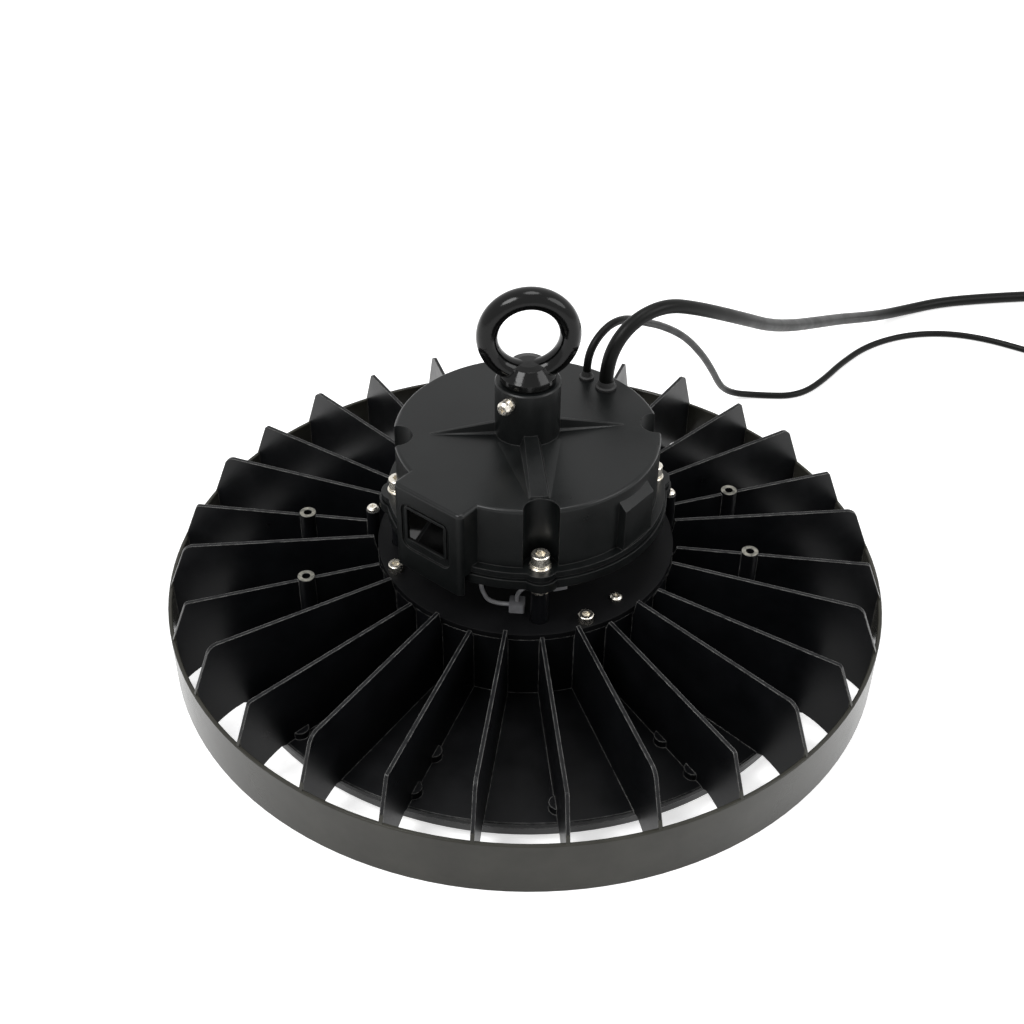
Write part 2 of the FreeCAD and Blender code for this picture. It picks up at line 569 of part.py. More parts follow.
def selector_switch():
    """Slide switch behind the pane, on a small upright board that stands on the housing's base."""
    front = BOX_D - BODY_WALL - PANE_T - SWITCH_GAP
    face = front - SWITCH_DEPTH + BOARD_T
    half = 0.55 * WINDOW_W
    board = box_part(face - BOARD_T, face, WINDOW_S - half, WINDOW_S + half, BASE_TOP, WINDOW_Z + 8, BOX_AZ)
    body = box_part(face, front, WINDOW_S - 8, WINDOW_S + 8, WINDOW_Z - 3.5, WINDOW_Z + 3.5, BOX_AZ)
    knob = box_part(front, front + 1.6, WINDOW_S - 5, WINDOW_S - 1, WINDOW_Z - 1.5, WINDOW_Z + 1.5, BOX_AZ)
    return fused([board, body, knob])


# ---------------------------------------------------------------- driver inside the housing
def standoff_places():
    a = BOARD_HALF - STANDOFF_EDGE
    return [(a, a), (-a, a), (a, -a), (-a, -a)]


def driver_board():
    board = block(-BOARD_HALF, BOARD_HALF, -BOARD_HALF, BOARD_HALF, BOARD_Z, BOARD_Z + BOARD_T)
    return board.cut([Part.makeCylinder(M3_PAN[0] / 2, 9, Vector(x, y, BOARD_Z - 1)) for x, y in standoff_places()])


def standoffs():
    return [Part.makeCylinder(STANDOFF_D / 2, STANDOFF_H, Vector(x, y, BASE_TOP)) for x, y in standoff_places()]


def driver_screws():
    seat = BOARD_Z + BOARD_T
    made = []
    for x, y in standoff_places():
        thread, head, height = M3_PAN
        body = lathe([(0, seat - BOARD_T), (thread / 2, seat - BOARD_T), (thread / 2, seat), (head / 2, seat),
                      (head / 2, seat + 0.5 * height), (0.35 * head, seat + height), (0, seat + height)])
        body.translate(Vector(x, y, 0))
        made.append(body)
    return made


def on_board(x0, x1, y0, y1, z0, z1):
    """Block on the driver board, in steps of its grid."""
    z = BOARD_Z + BOARD_T
    return block(x0 * GRID, x1 * GRID, y0 * GRID, y1 * GRID, z + z0 * GRID, z + z1 * GRID)


def transformer():
    return on_board(-16, 16, -3, 19, 0, 21).cut(on_board(-11, 11, -4, 20, 5, 16))


def winding():
    return on_board(-10.8, 10.8, -6, 22, 5.2, 15.8)


def capacitors():
    spots = ((-26, -12, 6, 20), (-26, 4, 6, 20), (26, -16, 5, 16))
    return [Part.makeCylinder(r * GRID, h * GRID, Vector(x * GRID, y * GRID, BOARD_Z + BOARD_T))
            for x, y, r, h in spots]


def choke():
    middle = Vector(26.5 * GRID, 10 * GRID, BOARD_Z + BOARD_T + 9.3 * GRID)
    return Part.makeTorus(6.5 * GRID, 2.8 * GRID, middle, Vector(0, 1, 0))


def terminal_block():
    z = BOARD_Z + BOARD_T + 6 * GRID
    holes = [Part.makeCylinder(1.6 * GRID, 5 * GRID, Vector((7.5 + 5 * i) * GRID, 31 * GRID, z)) for i in range(4)]
    return on_board(4, 26, 26, 36, 0, 10).cut(holes)


# ---------------------------------------------------------------- LED lead in the gap under the housing
def led_lead():
    """Two leads to the plug on the hub: one out of the base, one out of the socket under it."""
    across = polar(1, PLUG_AZ + 90)
    middle = polar(PLUG_R, PLUG_AZ, COVER_TOP)
    top = polar(LEAD_R, LEAD_TOP_AZ, BASE_Z + BUSH_T)
    end = middle - across * (PLUG_W / 2) + Vector(0, 0, PLUG_H / 2)
    before = end - across * (0.65 * PLUG_W)
    drop = top.z - end.z
    bend = top + (before - top) * 0.37
    first = tube([top, Vector(top.x, top.y, end.z + 0.46 * drop), Vector(bend.x, bend.y, end.z + 0.13 * drop),
                  before, end], LEAD_D)
    side = polar(1, SOCKET_AZ + 90)
    end = polar(PLUG_R, SOCKET_AZ, BASE_Z - 0.75 * SOCKET_H) - side * (PLUG_W / 2)
    before = end - side * PLUG_W
    start = middle + Vector(0, 0, PLUG_H)
    rise = end.z - start.z
    bend = start + (before - start) * 0.29
    second = tube([start, Vector(start.x, start.y, start.z + 0.35 * rise),
                   Vector(bend.x, bend.y, start.z + 0.75 * rise), before, end], LEAD_D)
    return [first, second]


def lead_bush():
    """Bush in the base, with a collar under it."""
    neck = ring(LEAD_D, LEAD_D / 2, BASE_Z, BASE_Z + BUSH_T, LEAD_R, LEAD_TOP_AZ)
    return fused([neck, ring(1.6 * LEAD_D, LEAD_D / 2, BASE_Z - 1.2, BASE_Z, LEAD_R, LEAD_TOP_AZ)])


def plug_body(az, z0, z1):
    half = PLUG_W / 2
    body = box_part(PLUG_R - half, PLUG_R + half, -half, half, z0, z1, az)
    return body.makeChamfer(0.5, [e for e in body.Edges if e.BoundBox.ZMax - e.BoundBox.ZMin > 0.9 * (z1 - z0)])


def led_plug():
    """Plug of the LED lead, on the hub's plate over its hole."""
    return plug_body(PLUG_AZ, COVER_TOP, COVER_TOP + PLUG_H)


def led_socket():
    """Second plug, fixed under the base."""
    return plug_body(SOCKET_AZ, BASE_Z - SOCKET_H, BASE_Z)


# ---------------------------------------------------------------- leads
def bend_radius(a, b, c):
    """Radius that a bend at b may have between the runs to a and c, and the turn there."""
    run_in = b - a
    run_out = c - b
    turn = run_in.getAngle(run_out)
    return 0.45 * min(run_in.Length, run_out.Length) / math.tan(turn / 2), turn


def tube(route, d):
    """Round tube along straight runs joined by tangent arcs."""
    points = [Vector(*p) for p in route]
    edges = []
    last = points[0]
    radii = []
    for a, b, c in zip(points, points[1:], points[2:]):
        radius, turn = bend_radius(a, b, c)
        radii.append(radius)
        cut = radius * math.tan(turn / 2)
        into = (b - a).normalize()
        out = (c - b).normalize()
        start = b - into * cut
        end = b + out * cut
        inward = (out - into).normalize()
        middle = b + inward * (radius / math.cos(turn / 2) - radius)
        edges.append(Part.LineSegment(last, start).toShape())
        edges.append(Part.Arc(start, middle, end).toShape())
        last = end
    edges.append(Part.LineSegment(last, points[-1]).toShape())
    path = Part.Wire(edges)
    disc = Part.Wire([Part.Circle(points[0], points[1] - points[0], d / 2).toShape()])
    pipe = path.makePipeShell([disc], True, True)
    full = math.pi * d * d / 4 * path.Length
    print("  tube d %.1f length %.1f volume/expected %.4f tightest %.1f d, radii %s"
          % (d, path.Length, pipe.Volume / full, min(radii) / d, " ".join("%.1f" % r for r in radii)))
    return pipe


MAINS_Z = MAINS_D / 2 + FLOOR_GAP
MAINS_ROUTE = [
    (*MAINS_EXIT, BODY_TOP + GROMMET_H), (*MAINS_EXIT, 123.2), (44.2, 33.4, 134.0), (51.2, 37.3, 142.6),
    (61.6, 43.2, 146.8), (73.6, 49.7, 146.3), (86.5, 56.8, 140.3), (102.5, 68.0, 130.0), (121.5, 85.5, 115.0),
    (142.5, 111.0, 95.0), (167.0, 144.0, 74.0), (194.0, 180.0, 53.5), (220.0, 213.5, 34.5), (243.5, 240.5, 18.5),
    (265.0, 260.0, 8.0), (286.5, 272.5, MAINS_Z), (310.0, 279.5, MAINS_Z), (337.5, 282.0, MAINS_Z),
    (370.0, 282.8, MAINS_Z), (396.0, 282.5, MAINS_Z), (421.0, 281.3, MAINS_Z)]
DIM_Z = DIM_D / 2 + FLOOR_GAP
DIM_ROUTE = [
    (*DIM_EXIT, BODY_TOP + GROMMET_H), (*DIM_EXIT, 122.0), (35.0, 42.6, 128.0), (38.8, 45.7, 133.0),
    (44.3, 50.4, 136.0), (50.8, 56.3, 135.5), (57.5, 64.5, 130.8), (66.5, 76.5, 121.5), (80.0, 93.5, 108.5),
    (97.5, 114.5, 88.5), (113.5, 135.5, 63.0), (125.0, 153.0, 40.5), (133.0, 166.0, 23.0), (139.5, 175.0, 12.0),
    (148.0, 180.5, 4.8), (159.5, 182.0, DIM_Z), (171.0, 180.0, DIM_Z), (182.0, 179.0, DIM_Z),
    (194.0, 183.0, DIM_Z), (208.0, 195.0, DIM_Z), (225.0, 213.5, DIM_Z), (247.0, 232.0, DIM_Z),
    (275.0, 243.0, DIM_Z), (303.0, 243.0, DIM_Z), (327.0, 233.5, DIM_Z), (349.0, 217.0, DIM_Z),
    (366.5, 204.9, DIM_Z), (383.5, 191.8, DIM_Z)]


def lead(route, d, turns, spare, core_d, core_angles):
    """One lead from outside: tube, coil of its spare length, stripped cores and their bare tips."""
    end = Vector(*route[-1])
    along = (end - Vector(*route[-2])).normalize()
    inward = Vector(along.y, -along.x, 0)
    pitch = d + TURN_GAP
    outer = spare + pitch * (turns + 1)
    centre = end + inward * (outer - d / 2 - TUCK)
    coil = ring_at(centre, outer, spare, d + COIL_CLEAR)
    gap = Part.makeCylinder(spare + pitch, d + 2, Vector(centre.x, centre.y, -1), Vector(0, 0, 1), END_GAP)
    last_turn = math.degrees(math.atan2(-inward.y, -inward.x))
    gap.rotate(centre, Vector(0, 0, 1), last_turn - END_GAP)
    coil = coil.cut(gap)
    sheath_end = end + inward * (pitch * turns + CORE_SHIFT)
    heading = (along * math.cos(END_TURN) + inward * math.sin(END_TURN)).normalize()
    side = Vector(along.y, -along.x, 0)
    cores = []
    tips = []
    for angle in core_angles:
        across = math.cos(math.radians(angle))
        rise = math.sin(math.radians(angle))
        reach = 0.62 * core_d
        root = sheath_end + side * (across * reach) + Vector(0, 0, rise * reach)
        bend = root + along * core_d * 2.3
        fan = side * (0.12 * across) - Vector(0, 0, 0.12 * max(rise, 0))
        tip = bend + (heading + fan).normalize() * core_d * 3.5
        cores.append(tube([root, bend, tip], core_d))
        tips.append(Part.makeCylinder(0.3 * core_d, 2 * core_d, tip, tip - bend))
    return tube(route, d).cut(coil), coil, cores, tips


def ring_at(centre, r_out, r_in, height):
    disc = Part.makeCylinder(r_out, height, Vector(centre.x, centre.y, 0))
    return disc.cut(Part.makeCylinder(r_in, height + 2, Vector(centre.x, centre.y, -1)))


def grommet(exit_at, d):
    """Rubber bush in the housing's top, with a short tapered neck."""
    x, y = exit_at
    skin = d / 2 + 0.7
    body = lathe([(0, ROOF_Z - 1.2), (skin + 0.8, ROOF_Z - 1.2), (skin + 0.8, ROOF_Z), (skin, ROOF_Z),
                  (skin, BODY_TOP), (skin + 0.9, BODY_TOP), (skin + 0.9, BODY_TOP + 1.0),
                  (d / 2 + 0.8, BODY_TOP + 1.6), (d / 2 + 0.3, BODY_TOP + GROMMET_H), (0, BODY_TOP + GROMMET_H)])
    body.translate(Vector(x, y, 0))
    return body


def build():
    os.makedirs("parts", exist_ok=True)
    save("heat_sink", heat_sink())
    save("hub_cover", hub_cover())
    save("hub_screws", [socket_screw(M4_CAP, COVER_T + HUB_THREAD - 1, COVER_TOP, HUB_SCREW_R, az)
                        for az in HUB_SCREW_AZ])
    save("post_screws", [pan_screw(M3_PAN, POST_THREAD - 1, POST_TOP, POST_R, fin_angle(k)) for k in POST_FINS])
    save("earth_screw", pan_screw(M3_PAN, COVER_T, COVER_TOP, EARTH_R, EARTH_AZ))
    save("driver_housing", driver_housing())
    save("housing_base", housing_base())
    save("housing_seal", housing_seal())
    stack = SEAT_Z + WASHER_T + SPRING_T
    save("housing_screws", [socket_screw(M5_CAP, HOUSING_SCREW_L, stack, SCREW_R, az) for az in CORNERS])
    save("housing_washers", [ring(WASHER_R, M5_CAP[0] / 2, SEAT_Z, SEAT_Z + WASHER_T, SCREW_R, az) for az in CORNERS])
    save("spring_washers", [ring(SPRING_R, M5_CAP[0] / 2, SEAT_Z + WASHER_T, stack, SCREW_R, az) for az in CORNERS])
    save("housing_spacers", [ring(SPACER_D / 2, M5_CAP[0] / 2, SPACER_Z, BASE_Z, SCREW_R, az) for az in CORNERS])
    save("eye_bolt", eye_bolt())
    save("locking_screw", locking_screw())
    save("locking_washer", locking_washer())
    save("clamp_ring", clamp_ring())
    save("lens", lens())
    save("lens_gasket", ring(LENS_R, RING_LIP_R, DISC_Z - GASKET_T, DISC_Z))
    save("ring_screws", [pan_screw(M4_PAN, DISC_Z - RING_BOTTOM + RING_THREAD - 0.5, RING_BOTTOM, RING_SCREW_R,
                                   fin_angle(k), False) for k in range(1, FIN_COUNT, 2)])
    save("led_board", led_board())
    save("board_screws", [pan_screw(M3_PAN, LED_BOARD_T + BOARD_THREAD - 0.5, DISC_Z - LED_BOARD_T, BOARD_SCREW_R,
                                    fin_angle(k), False) for k in BOARD_BOSS_FINS])
    save("leds", leds())
    save("selector_window", selector_window())
    save("selector_switch", selector_switch())
    save("driver_board", driver_board())
    save("driver_standoffs", standoffs())
    save("driver_screws", driver_screws())
    save("transformer", transformer())
    save("transformer_winding", winding())
    save("capacitors", capacitors())
    save("choke", choke())
    save("terminal_block", terminal_block())
    save("led_lead", led_lead())
    save("led_lead_bush", lead_bush())
    save("led_plug", led_plug())
    save("led_socket", led_socket())
    save("mains_grommet", grommet(MAINS_EXIT, MAINS_D))
    save("dimming_grommet", grommet(DIM_EXIT, DIM_D))
    for name, shapes, cores in (
            ("mains", lead(MAINS_ROUTE, MAINS_D, 2, MAINS_SPARE_R, 2.5, (90, 210, 330)), ("live", "neutral", "earth")),
            ("dimming", lead(DIM_ROUTE, DIM_D, 3, DIM_SPARE_R, 1.6, (0, 180)), ("plus", "minus"))):
        save(name + "_lead", shapes[0])
        save(name + "_lead_coil", shapes[1])
        for core, shape in zip(cores, shapes[2]):
            save("%s_%s_core" % (name, core), shape)
        save(name + "_core_tips", shapes[3])


build()
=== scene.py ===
import bpy
import bmesh
import math
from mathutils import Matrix, Quaternion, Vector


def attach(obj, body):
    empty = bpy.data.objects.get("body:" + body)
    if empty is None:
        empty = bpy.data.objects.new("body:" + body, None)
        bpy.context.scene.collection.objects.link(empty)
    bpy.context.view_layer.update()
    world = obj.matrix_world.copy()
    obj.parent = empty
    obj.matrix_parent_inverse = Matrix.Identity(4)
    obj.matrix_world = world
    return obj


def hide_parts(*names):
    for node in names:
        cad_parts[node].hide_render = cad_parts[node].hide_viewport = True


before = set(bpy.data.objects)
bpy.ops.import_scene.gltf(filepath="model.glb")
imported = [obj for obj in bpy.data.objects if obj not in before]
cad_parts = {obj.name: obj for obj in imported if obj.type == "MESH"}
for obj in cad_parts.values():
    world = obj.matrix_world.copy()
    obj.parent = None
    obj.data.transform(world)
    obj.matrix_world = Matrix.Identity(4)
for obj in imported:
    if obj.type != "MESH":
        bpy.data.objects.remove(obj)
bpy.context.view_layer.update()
scene = bpy.context.scene
scene.view_settings.view_transform = "Standard"

# camera
cameraSet = {
    "place": (-0.0614, -0.5493, 0.5008),
    "target": (-0.0067, 0.0007, 0.0639),
    "lens": 51.15,
    "sensor": 36.0,
    "roll": 0.5,  # degrees
    "near": 0.01,
    "far": 20.0,
}


def makeCamera():
    data = bpy.data.cameras.new("camera")
    data.lens = cameraSet["lens"]
    data.sensor_width = cameraSet["sensor"]
    data.clip_start = cameraSet["near"]
    data.clip_end = cameraSet["far"]
    camera = bpy.data.objects.new("camera", data)
    scene.collection.objects.link(camera)
    camera.location = cameraSet["place"]
    gaze = Vector(cameraSet["target"]) - Vector(cameraSet["place"])
    camera.rotation_mode = "QUATERNION"
    roll = Quaternion((0, 0, 1), math.radians(cameraSet["roll"]))
    camera.rotation_quaternion = gaze.to_track_quat("-Z", "Y") @ roll
    scene.camera = camera


makeCamera()
print("camera placed")


# helpers for shader nodes
def newMaterial(name):
    mat = bpy.data.materials.new(name)
    mat.use_nodes = True
    return mat, mat.node_tree.nodes, mat.node_tree.links


def setInputs(node, values):
    for key, value in values.items():
        node.inputs[key].default_value = value


def objectNoise(nodes, links, scale, detail=3.0, rough=0.5):
    coords = nodes.new("ShaderNodeTexCoord")
    noise = nodes.new("ShaderNodeTexNoise")
    setInputs(noise, {"Scale": scale, "Detail": detail, "Roughness": rough})
    links.new(coords.outputs["Object"], noise.inputs["Vector"])
    return noise


def ramp(nodes, links, source, stops):
    node = nodes.new("ShaderNodeValToRGB")
    band = node.color_ramp
    band.elements[0].position, band.elements[0].color = stops[0]
    band.elements[1].position, band.elements[1].color = stops[-1]
    for place, colour in stops[1:-1]:
        band.elements.new(place).color = colour
    links.new(source, node.inputs["Fac"])
    return node


def grey(level):
    return (level, level, level, 1.0)


def bump(nodes, links, source, strength, distance, normal=None):
    node = nodes.new("ShaderNodeBump")
    setInputs(node, {"Strength": strength, "Distance": distance})
    links.new(source, node.inputs["Height"])
    if normal is not None:
        links.new(normal, node.inputs["Normal"])
    return node


def backgroundRays(nodes, links):
    # one for rays from the camera, a glossy surface or clear plastic
    path = nodes.new("ShaderNodeLightPath")
    seen = path.outputs["Is Camera Ray"]
    for kind in ("Is Glossy Ray", "Is Transmission Ray"):
        either = nodes.new("ShaderNodeMath")
        either.operation = "MAXIMUM"
        links.new(seen, either.inputs[0])
        links.new(path.outputs[kind], either.inputs[1])
        seen = either.outputs["Value"]
    return seen


def softEdges(nodes, radius):
    node = nodes.new("ShaderNodeBevel")
    node.samples = 4  # enough for a smooth edge
    node.inputs["Radius"].default_value = radius
    return node


def dress(nodeNames, mat):
    for name in nodeNames:
        obj = bpy.data.objects[name]
        obj.data.materials.clear()
        obj.data.materials.append(mat)


def edgeMask(nodes, links, radius, stops):
    # one on sharp edges, zero on flat faces
    rounded = softEdges(nodes, radius)
    flat = nodes.new("ShaderNodeNewGeometry")
    turn = nodes.new("ShaderNodeVectorMath")
    turn.operation = "DOT_PRODUCT"
    links.new(rounded.outputs["Normal"], turn.inputs[0])
    links.new(flat.outputs["Normal"], turn.inputs[1])
    return ramp(nodes, links, turn.outputs["Value"], [(stops[0], grey(1.0)), (stops[1], grey(0.0))])


def mixColour(nodes, links, factor, first, second):
    node = nodes.new("ShaderNodeMix")
    node.data_type = "RGBA"
    links.new(factor, node.inputs[0])
    links.new(first, node.inputs[6])
    links.new(second, node.inputs[7])
    return node.outputs[2]


def levelMask(nodes, links, low, high):
    # one on upward faces between two heights of the object
    level = 0.9  # how far a face must look up
    coords = nodes.new("ShaderNodeTexCoord")
    place = nodes.new("ShaderNodeSeparateXYZ")
    links.new(coords.outputs["Object"], place.inputs["Vector"])
    flat = nodes.new("ShaderNodeNewGeometry")
    facing = nodes.new("ShaderNodeSeparateXYZ")
    links.new(flat.outputs["True Normal"], facing.inputs["Vector"])
    result = None
    for source, operation, limit in ((place, "GREATER_THAN", low), (place, "LESS_THAN", high),
                                     (facing, "GREATER_THAN", level)):
        test = nodes.new("ShaderNodeMath")
        test.operation = operation
        test.inputs[1].default_value = limit
        links.new(source.outputs["Z"], test.inputs[0])
        if result is None:
            result = test.outputs["Value"]
            continue
        both = nodes.new("ShaderNodeMath")
        both.operation = "MULTIPLY"
        links.new(result, both.inputs[0])
        links.new(test.outputs["Value"], both.inputs[1])
        result = both.outputs["Value"]
    return result


def outsideMask(nodes, links, radius):
    # one farther from the object's axis than the radius
    coords = nodes.new("ShaderNodeTexCoord")
    flat = nodes.new("ShaderNodeVectorMath")
    flat.operation = "MULTIPLY"
    flat.inputs[1].default_value = (1.0, 1.0, 0.0)
    reach = nodes.new("ShaderNodeVectorMath")
    reach.operation = "LENGTH"
    test = nodes.new("ShaderNodeMath")
    test.operation = "GREATER_THAN"
    test.inputs[1].default_value = radius
    links.new(coords.outputs["Object"], flat.inputs[0])
    links.new(flat.outputs["Vector"], reach.inputs[0])
    links.new(reach.outputs["Value"], test.inputs[0])
    return test.outputs["Value"]


# powder coat on the castings, with a painted highlight along the edges
castCoat = {
    "dark": (0.0026, 0.0028, 0.0034, 1.0),
    "light": (0.0055, 0.0058, 0.0068, 1.0),
    "edgeGlint": (0.30, 0.30, 0.29, 1.0),  # painted highlight along the edges
    "roughLow": 0.27,
    "roughHigh": 0.40,
    "patchScale": 45.0,  # slow changes of tint and gloss
    "mottleScale": 260.0,  # small breaks in the painted edge highlight
    "grainScale": 1400.0,
    "grain": 0.25,
    "grainDepth": 0.0001,
    "edge": 0.0005,  # radius that the edges seem to have
    "glintBand": 0.0007,  # reach of the painted highlight from an edge
    "glintBandStops": (0.80, 0.985),
    "ior": 1.46,
}


def coatMaterial(name, look):
    mat, nodes, links = newMaterial(name)
    shader = nodes["Principled BSDF"]
    shader.inputs["IOR"].default_value = look["ior"]
    patches = objectNoise(nodes, links, look["patchScale"], 5.0, 0.6)
    tint = ramp(nodes, links, patches.outputs["Fac"], [(0.3, look["dark"]), (0.7, look["light"])])
    # painted highlight: a light band along the edges, broken up by noise
    glintBand = edgeMask(nodes, links, look["glintBand"], look["glintBandStops"])
    mottle = objectNoise(nodes, links, look["mottleScale"], 4.0, 0.65)
    edgeGlint = ramp(nodes, links, mottle.outputs["Fac"], [(0.30, look["light"]), (0.62, look["edgeGlint"])])
    skin = mixColour(nodes, links, glintBand.outputs["Color"], tint.outputs["Color"], edgeGlint.outputs["Color"])
    if "bare" in look:
        machined = levelMask(nodes, links, *look["bare"])
        shades = [(0.35, look["metalDark"]), (0.65, look["metalLight"])]
        metal = ramp(nodes, links, mottle.outputs["Fac"], shades)
        skin = mixColour(nodes, links, machined, skin, metal.outputs["Color"])
    low, high = grey(look["roughLow"]), grey(look["roughHigh"])
    gloss = ramp(nodes, links, patches.outputs["Fac"], [(0.3, low), (0.75, high)])
    sheen = gloss.outputs["Color"]
    # the hoop band: a lighter, warm colour as a painted reflection, and a smoother gloss
    if "hoop" in look:
        outer = outsideMask(nodes, links, look["hoop"])
        hoopReflection = ramp(nodes, links, patches.outputs["Fac"], [(0.3, look["hoopReflectionDark"]), (0.7, look["hoopReflectionLight"])])
        skin = mixColour(nodes, links, outer, skin, hoopReflection.outputs["Color"])
        low, high = grey(look["hoopRoughLow"]), grey(look["hoopRoughHigh"])
        smooth = ramp(nodes, links, patches.outputs["Fac"], [(0.3, low), (0.75, high)])
        sheen = mixColour(nodes, links, outer, sheen, smooth.outputs["Color"])
    links.new(skin, shader.inputs["Base Color"])
    links.new(sheen, shader.inputs["Roughness"])
    grain = objectNoise(nodes, links, look["grainScale"], 2.0)
    edges = softEdges(nodes, look["edge"])
    relief = bump(nodes, links, grain.outputs["Fac"], look["grain"], look["grainDepth"],
                  edges.outputs["Normal"])
    links.new(relief.outputs["Normal"], shader.inputs["Normal"])
    return mat


sinkLook = dict(
    castCoat,
    ior=1.27,
    bare=(0.0518, 0.0522),  # heights between which the accessory bosses are machined bare
    metalDark=(0.05, 0.05, 0.045, 1.0),
    metalLight=(0.30, 0.29, 0.25, 1.0),
    hoop=0.1728,  # from this far out from the axis the hoop gets a lighter colour, a painted reflection, and its own gloss
    hoopReflectionDark=(0.030, 0.029, 0.024, 1.0),
    hoopReflectionLight=(0.044, 0.043, 0.036, 1.0),
    hoopRoughLow=0.17,
    hoopRoughHigh=0.25,
)
dress(["heat_sink"], coatMaterial("sinkCoat", sinkLook))
dress(["clamp_ring"], coatMaterial("castCoat", castCoat))
# darker, rougher coat for the hub cover, with an almost black painted edge highlight
plateCoat = dict(castCoat, dark=(0.0012, 0.0013, 0.0016, 1.0), light=(0.003, 0.0031, 0.0036, 1.0),
                 edgeGlint=(0.01, 0.01, 0.01, 1.0), roughLow=0.55, roughHigh=0.7, ior=1.2)
dress(["hub_cover"], coatMaterial("plateCoat", plateCoat))

# housing coat with a faint painted edge highlight
housingCoat = dict(castCoat, dark=(0.0022, 0.0027, 0.0028, 1.0), light=(0.0046, 0.0054, 0.0054, 1.0),
                   edgeGlint=(0.035, 0.035, 0.034, 1.0), glintBand=0.0006, ior=1.33)
housingMat = coatMaterial("housingCoat", housingCoat)
dress(["driver_housing", "housing_base"], housingMat)

# glossy eye bolt coat with a faint painted edge highlight
eyeCoat = dict(castCoat, dark=(0.0012, 0.0013, 0.0013, 1.0), light=(0.0026, 0.0027, 0.0026, 1.0),
               edgeGlint=(0.012, 0.012, 0.011, 1.0), roughLow=0.09, roughHigh=0.16, grain=0.55, grainScale=420.0,
               ior=1.30)
eyeMat = coatMaterial("eyeCoat", eyeCoat)
dress(["eye_bolt"], eyeMat)
print("castings coated")

# stainless screws, washers and spacers
steelFinish = {
    "colour": (0.80, 0.76, 0.68, 1.0),
    "roughLow": 0.22,
    "roughHigh": 0.34,
    "hazeScale": 900.0,
    "edge": 0.0002,
}


def steelMaterial():
    mat, nodes, links = newMaterial("stainless")
    shader = nodes["Principled BSDF"]
    setInputs(shader, {"Base Color": steelFinish["colour"], "Metallic": 1.0})
    haze = objectNoise(nodes, links, steelFinish["hazeScale"], 3.0)
    low, high = steelFinish["roughLow"], steelFinish["roughHigh"]
    gloss = ramp(nodes, links, haze.outputs["Fac"], [(0.3, grey(low)), (0.7, grey(high))])
    links.new(gloss.outputs["Color"], shader.inputs["Roughness"])
    edges = softEdges(nodes, steelFinish["edge"])
    links.new(edges.outputs["Normal"], shader.inputs["Normal"])
    return mat


steelNodes = [
    "hub_screws", "post_screws", "earth_screw", "housing_screws", "housing_washers", "spring_washers",
    "ring_screws", "board_screws", "driver_screws", "driver_standoffs", "locking_screw", "locking_washer",
    "housing_spacers"]
dress(steelNodes, steelMaterial())


# plain pieces: plastics, rubber, boards and small metal
def plainMaterial(name, colour, rough, metallic=0.0, speck=0.15):
    mat, nodes, links = newMaterial(name)
    shader = nodes["Principled BSDF"]
    shader.inputs["Metallic"].default_value = metallic
    patches = objectNoise(nodes, links, 300.0, 3.0)
    dark = tuple(c * (1 - speck) for c in colour) + (1.0,)
    light = tuple(min(1.0, c * (1 + speck)) for c in colour) + (1.0,)
    tint = ramp(nodes, links, patches.outputs["Fac"], [(0.3, dark), (0.7, light)])
    links.new(tint.outputs["Color"], shader.inputs["Base Color"])
    gloss = ramp(nodes, links, patches.outputs["Fac"], [(0.3, grey(rough * 0.85)), (0.7, grey(rough * 1.15))])
    links.new(gloss.outputs["Color"], shader.inputs["Roughness"])
    return mat


plainSet = {
    # colour, roughness, pieces
    "sealRubber": ((0.015, 0.015, 0.015), 0.6,
                   ["housing_seal", "lens_gasket", "mains_grommet", "dimming_grommet", "led_lead_bush"]),
    "boardWhite": ((0.85, 0.85, 0.82), 0.35, ["led_board"]),
    "ledYellow": ((0.9, 0.7, 0.2), 0.3, ["leds"]),
    "boardGreen": ((0.01, 0.10, 0.03), 0.35, ["driver_board"]),
    "partDark": ((0.01, 0.01, 0.011), 0.4, ["selector_switch"]),
    "plugGrey": ((0.22, 0.22, 0.23), 0.4, ["led_plug", "led_socket"]),
    "leadGrey": ((0.3, 0.3, 0.31), 0.35, ["led_lead"]),
    "ferrite": ((0.02, 0.02, 0.02), 0.55, ["transformer", "choke"]),
    "windingTape": ((0.55, 0.38, 0.02), 0.3, ["transformer_winding"]),
    "terminalGreen": ((0.02, 0.16, 0.05), 0.4, ["terminal_block"]),
    "coreBrown": ((0.06, 0.02, 0.008), 0.35, ["mains_live_core"]),
    "coreBlue": ((0.01, 0.03, 0.25), 0.35, ["mains_neutral_core"]),
    "coreGreen": ((0.08, 0.25, 0.01), 0.35, ["mains_earth_core"]),
    "corePurple": ((0.08, 0.01, 0.15), 0.35, ["dimming_plus_core"]),
    "coreGrey": ((0.18, 0.18, 0.19), 0.35, ["dimming_minus_core"]),
}
for name, (colour, rough, nodeNames) in plainSet.items():
    dress(nodeNames, plainMaterial(name, colour, rough))
dress(["capacitors"], plainMaterial("canAluminium", (0.6, 0.61, 0.63), 0.3, metallic=1.0, speck=0.05))
copperMat = plainMaterial("copper", (0.75, 0.35, 0.2), 0.25, metallic=1.0)
dress(["mains_core_tips", "dimming_core_tips"], copperMat)


# clear lens and smoked window
plasticRipple = {"ior": 1.58, "scale": 60.0, "strength": 0.1, "depth": 0.0002}
clearSet = {
    # tint, roughness, pieces
    "lensClear": ((0.95, 0.97, 0.98, 1.0), 0.05, ["lens"]),
    "windowSmoked": ((0.002, 0.002, 0.003, 1.0), 0.04, ["selector_window"]),
}


